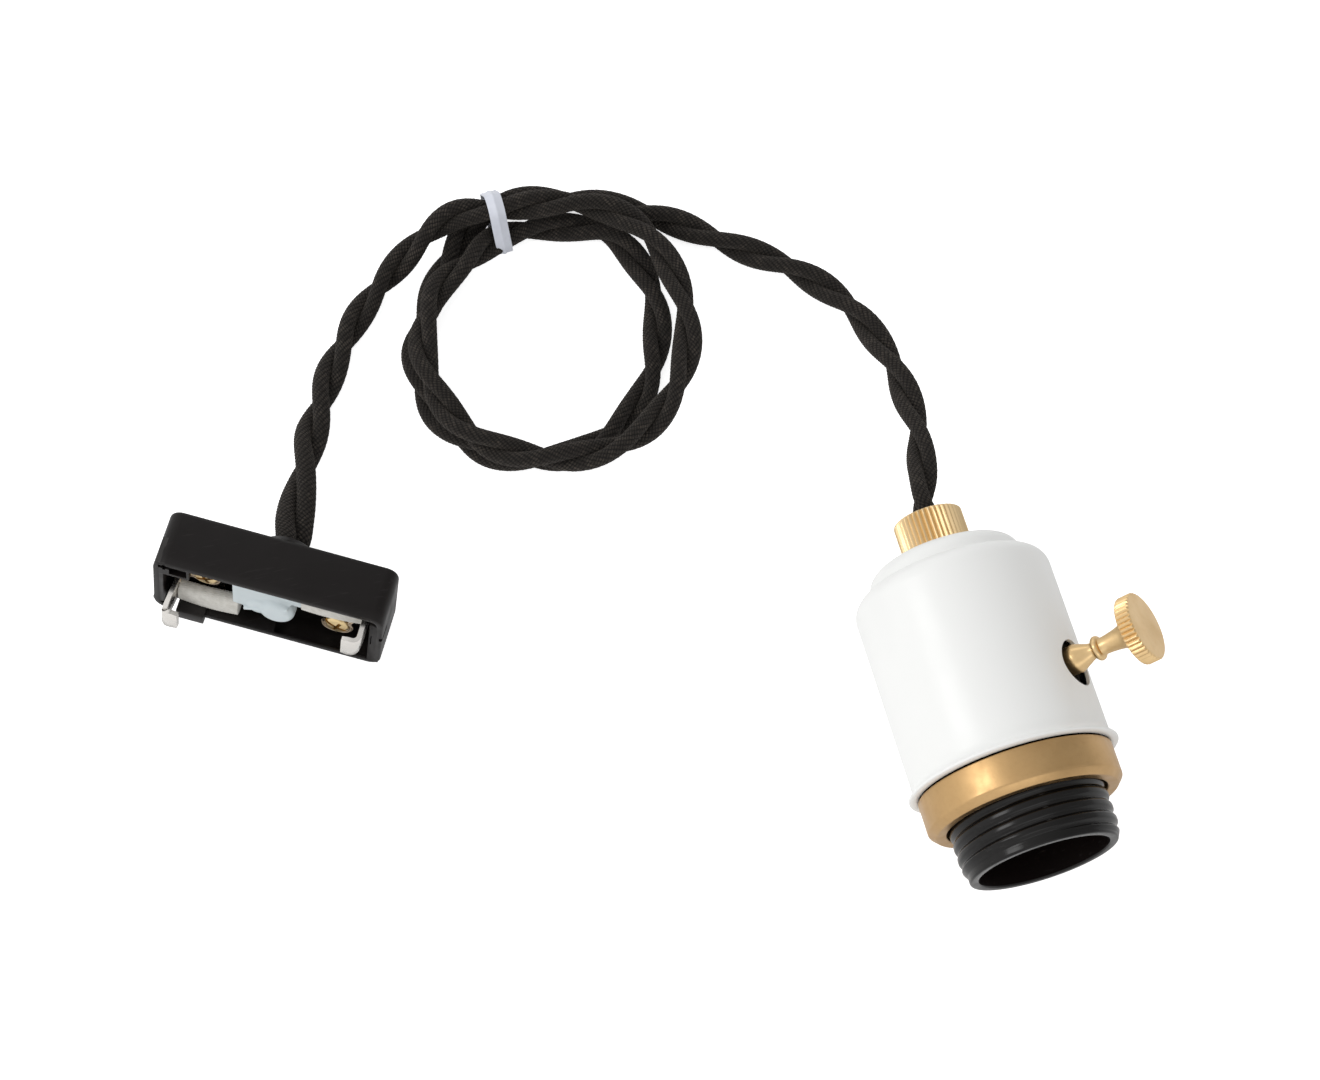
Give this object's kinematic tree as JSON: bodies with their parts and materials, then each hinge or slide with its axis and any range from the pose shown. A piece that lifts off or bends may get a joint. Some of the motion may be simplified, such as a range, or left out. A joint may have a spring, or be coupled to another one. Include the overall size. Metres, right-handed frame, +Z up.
{
  "type": "pendant lamp cord set",
  "caption": "Pendant lamp cord set: a lampholder with a turn key and shade ring, a twisted fabric cord coiled in a tie, and a two-blade ceiling plug.",
  "frame": {"origin": "on the table under the middle of the set's bounding box, with the set lying coiled as packed", "axes": "+Z up; the lampholder's axis is level and its mouth faces -Y; the cord and the plug lie towards +Y and -X"},
  "size_m": [0.2174, 0.2078, 0.0554],
  "materials": {
    "black_cotton": "black braided cotton over the insulated wire",
    "tie_white": "white flat tie with a fine centre rib",
    "white_paint": "satin white paint on spun steel",
    "polished_brass": "satin lacquered brass",
    "inner_brass": "plain brass",
    "aged_brass": "darker satin brass",
    "black_resin": "moulded black phenolic resin",
    "nickel": "nickel plate",
    "spring_steel": "bright spring steel",
    "red_fibre": "vulcanised fibre",
    "black_rubber": "moulded rubber",
    "core_white": "white wire insulation",
    "woven_sleeve": "white woven glass sleeve",
    "milky_nylon": "milky translucent nylon"
  },
  "bodies": {
    "cord": {"cord_strand_a": "black_cotton", "cord_strand_b": "black_cotton", "coil_tie": "tie_white"},
    "plug": {"plug_body": "black_resin", "plug_blade_left": "nickel", "plug_blade_right": "nickel", "plug_screw_left": "inner_brass", "plug_screw_right": "inner_brass", "plug_washer_left": "inner_brass", "plug_washer_right": "inner_brass", "wire_sleeve_left": "woven_sleeve", "wire_sleeve_right": "woven_sleeve", "plug_core_left": "core_white", "plug_core_right": "core_white", "cord_clamp": "milky_nylon"},
    "lampholder": {"shell_cover": "white_paint", "threaded_body": "black_resin", "lamp_screw_shell": "nickel", "switch_base": "black_resin", "switch_cover": "black_resin", "assembly_screw_left": "inner_brass", "assembly_screw_right": "inner_brass", "lamp_terminal_live": "inner_brass", "lamp_terminal_neutral": "inner_brass", "lamp_terminal_screw_live": "inner_brass", "lamp_terminal_screw_neutral": "inner_brass", "contact_post": "inner_brass", "spindle_bush": "inner_brass", "fixed_contact_lower": "inner_brass", "fixed_contact_upper": "inner_brass", "index_spring": "spring_steel", "gland_nipple": "inner_brass", "lamp_core_live": "core_white", "lamp_core_neutral": "core_white"},
    "key": {"key_knob": "polished_brass", "key_spindle": "inner_brass", "switch_rotor": "black_resin", "rotor_contact": "inner_brass"},
    "contact_tip": {"centre_contact": "inner_brass"},
    "ring_seat": {"ring_washer": "red_fibre"},
    "ring": {"shade_ring": "aged_brass"},
    "cord_grip": {"gland_bush": "black_rubber"},
    "nut": {"gland_nut": "polished_brass"}
  },
  "joints": [
    {"name": "plug_flex", "type": "hinge", "parent": "cord", "child": "plug", "pos_m": [-0.07552, 0.02005, 0.01304], "axis": [0, 0, 1], "range_deg": [-20, 20]},
    {"name": "lampholder_flex", "type": "hinge", "parent": "cord", "child": "lampholder", "pos_m": [0.06996, -0.01877, 0.0249], "axis": [0, 0, 1], "range_deg": [-15, 15]},
    {"name": "key_turn", "type": "hinge", "parent": "lampholder", "child": "key", "pos_m": [0.06996, -0.06417, 0.0249], "axis": [0.8192, 0, 0.5736], "continuous": true},
    {"name": "contact_press", "type": "slide", "parent": "lampholder", "child": "contact_tip", "axis": [0, 1, 0], "range_m": [0, 0.0015], "stiffness_N_per_m": 800},
    {"name": "ring_travel", "type": "slide", "parent": "lampholder", "child": "ring_seat", "axis": [0, -1, 0], "range_m": [0, 0.015]},
    {"name": "ring_turn", "type": "hinge", "parent": "ring_seat", "child": "ring", "pos_m": [0.06996, -0.08637, 0.0249], "axis": [0, -1, 0], "range_deg": [0, 1800]},
    {"name": "grip_travel", "type": "slide", "parent": "lampholder", "child": "cord_grip", "axis": [0, 1, 0], "range_m": [0, 0.003]},
    {"name": "nut_turn", "type": "hinge", "parent": "cord_grip", "child": "nut", "pos_m": [0.06996, -0.02237, 0.0249], "axis": [0, 1, 0], "range_deg": [0, 1080]}
  ],
  "couplings": [
    {"joint": "ring_travel", "follows": "ring_turn", "m_per_rad": 0.00047746},
    {"joint": "grip_travel", "follows": "nut_turn", "m_per_rad": 0.00015915}
  ]
}
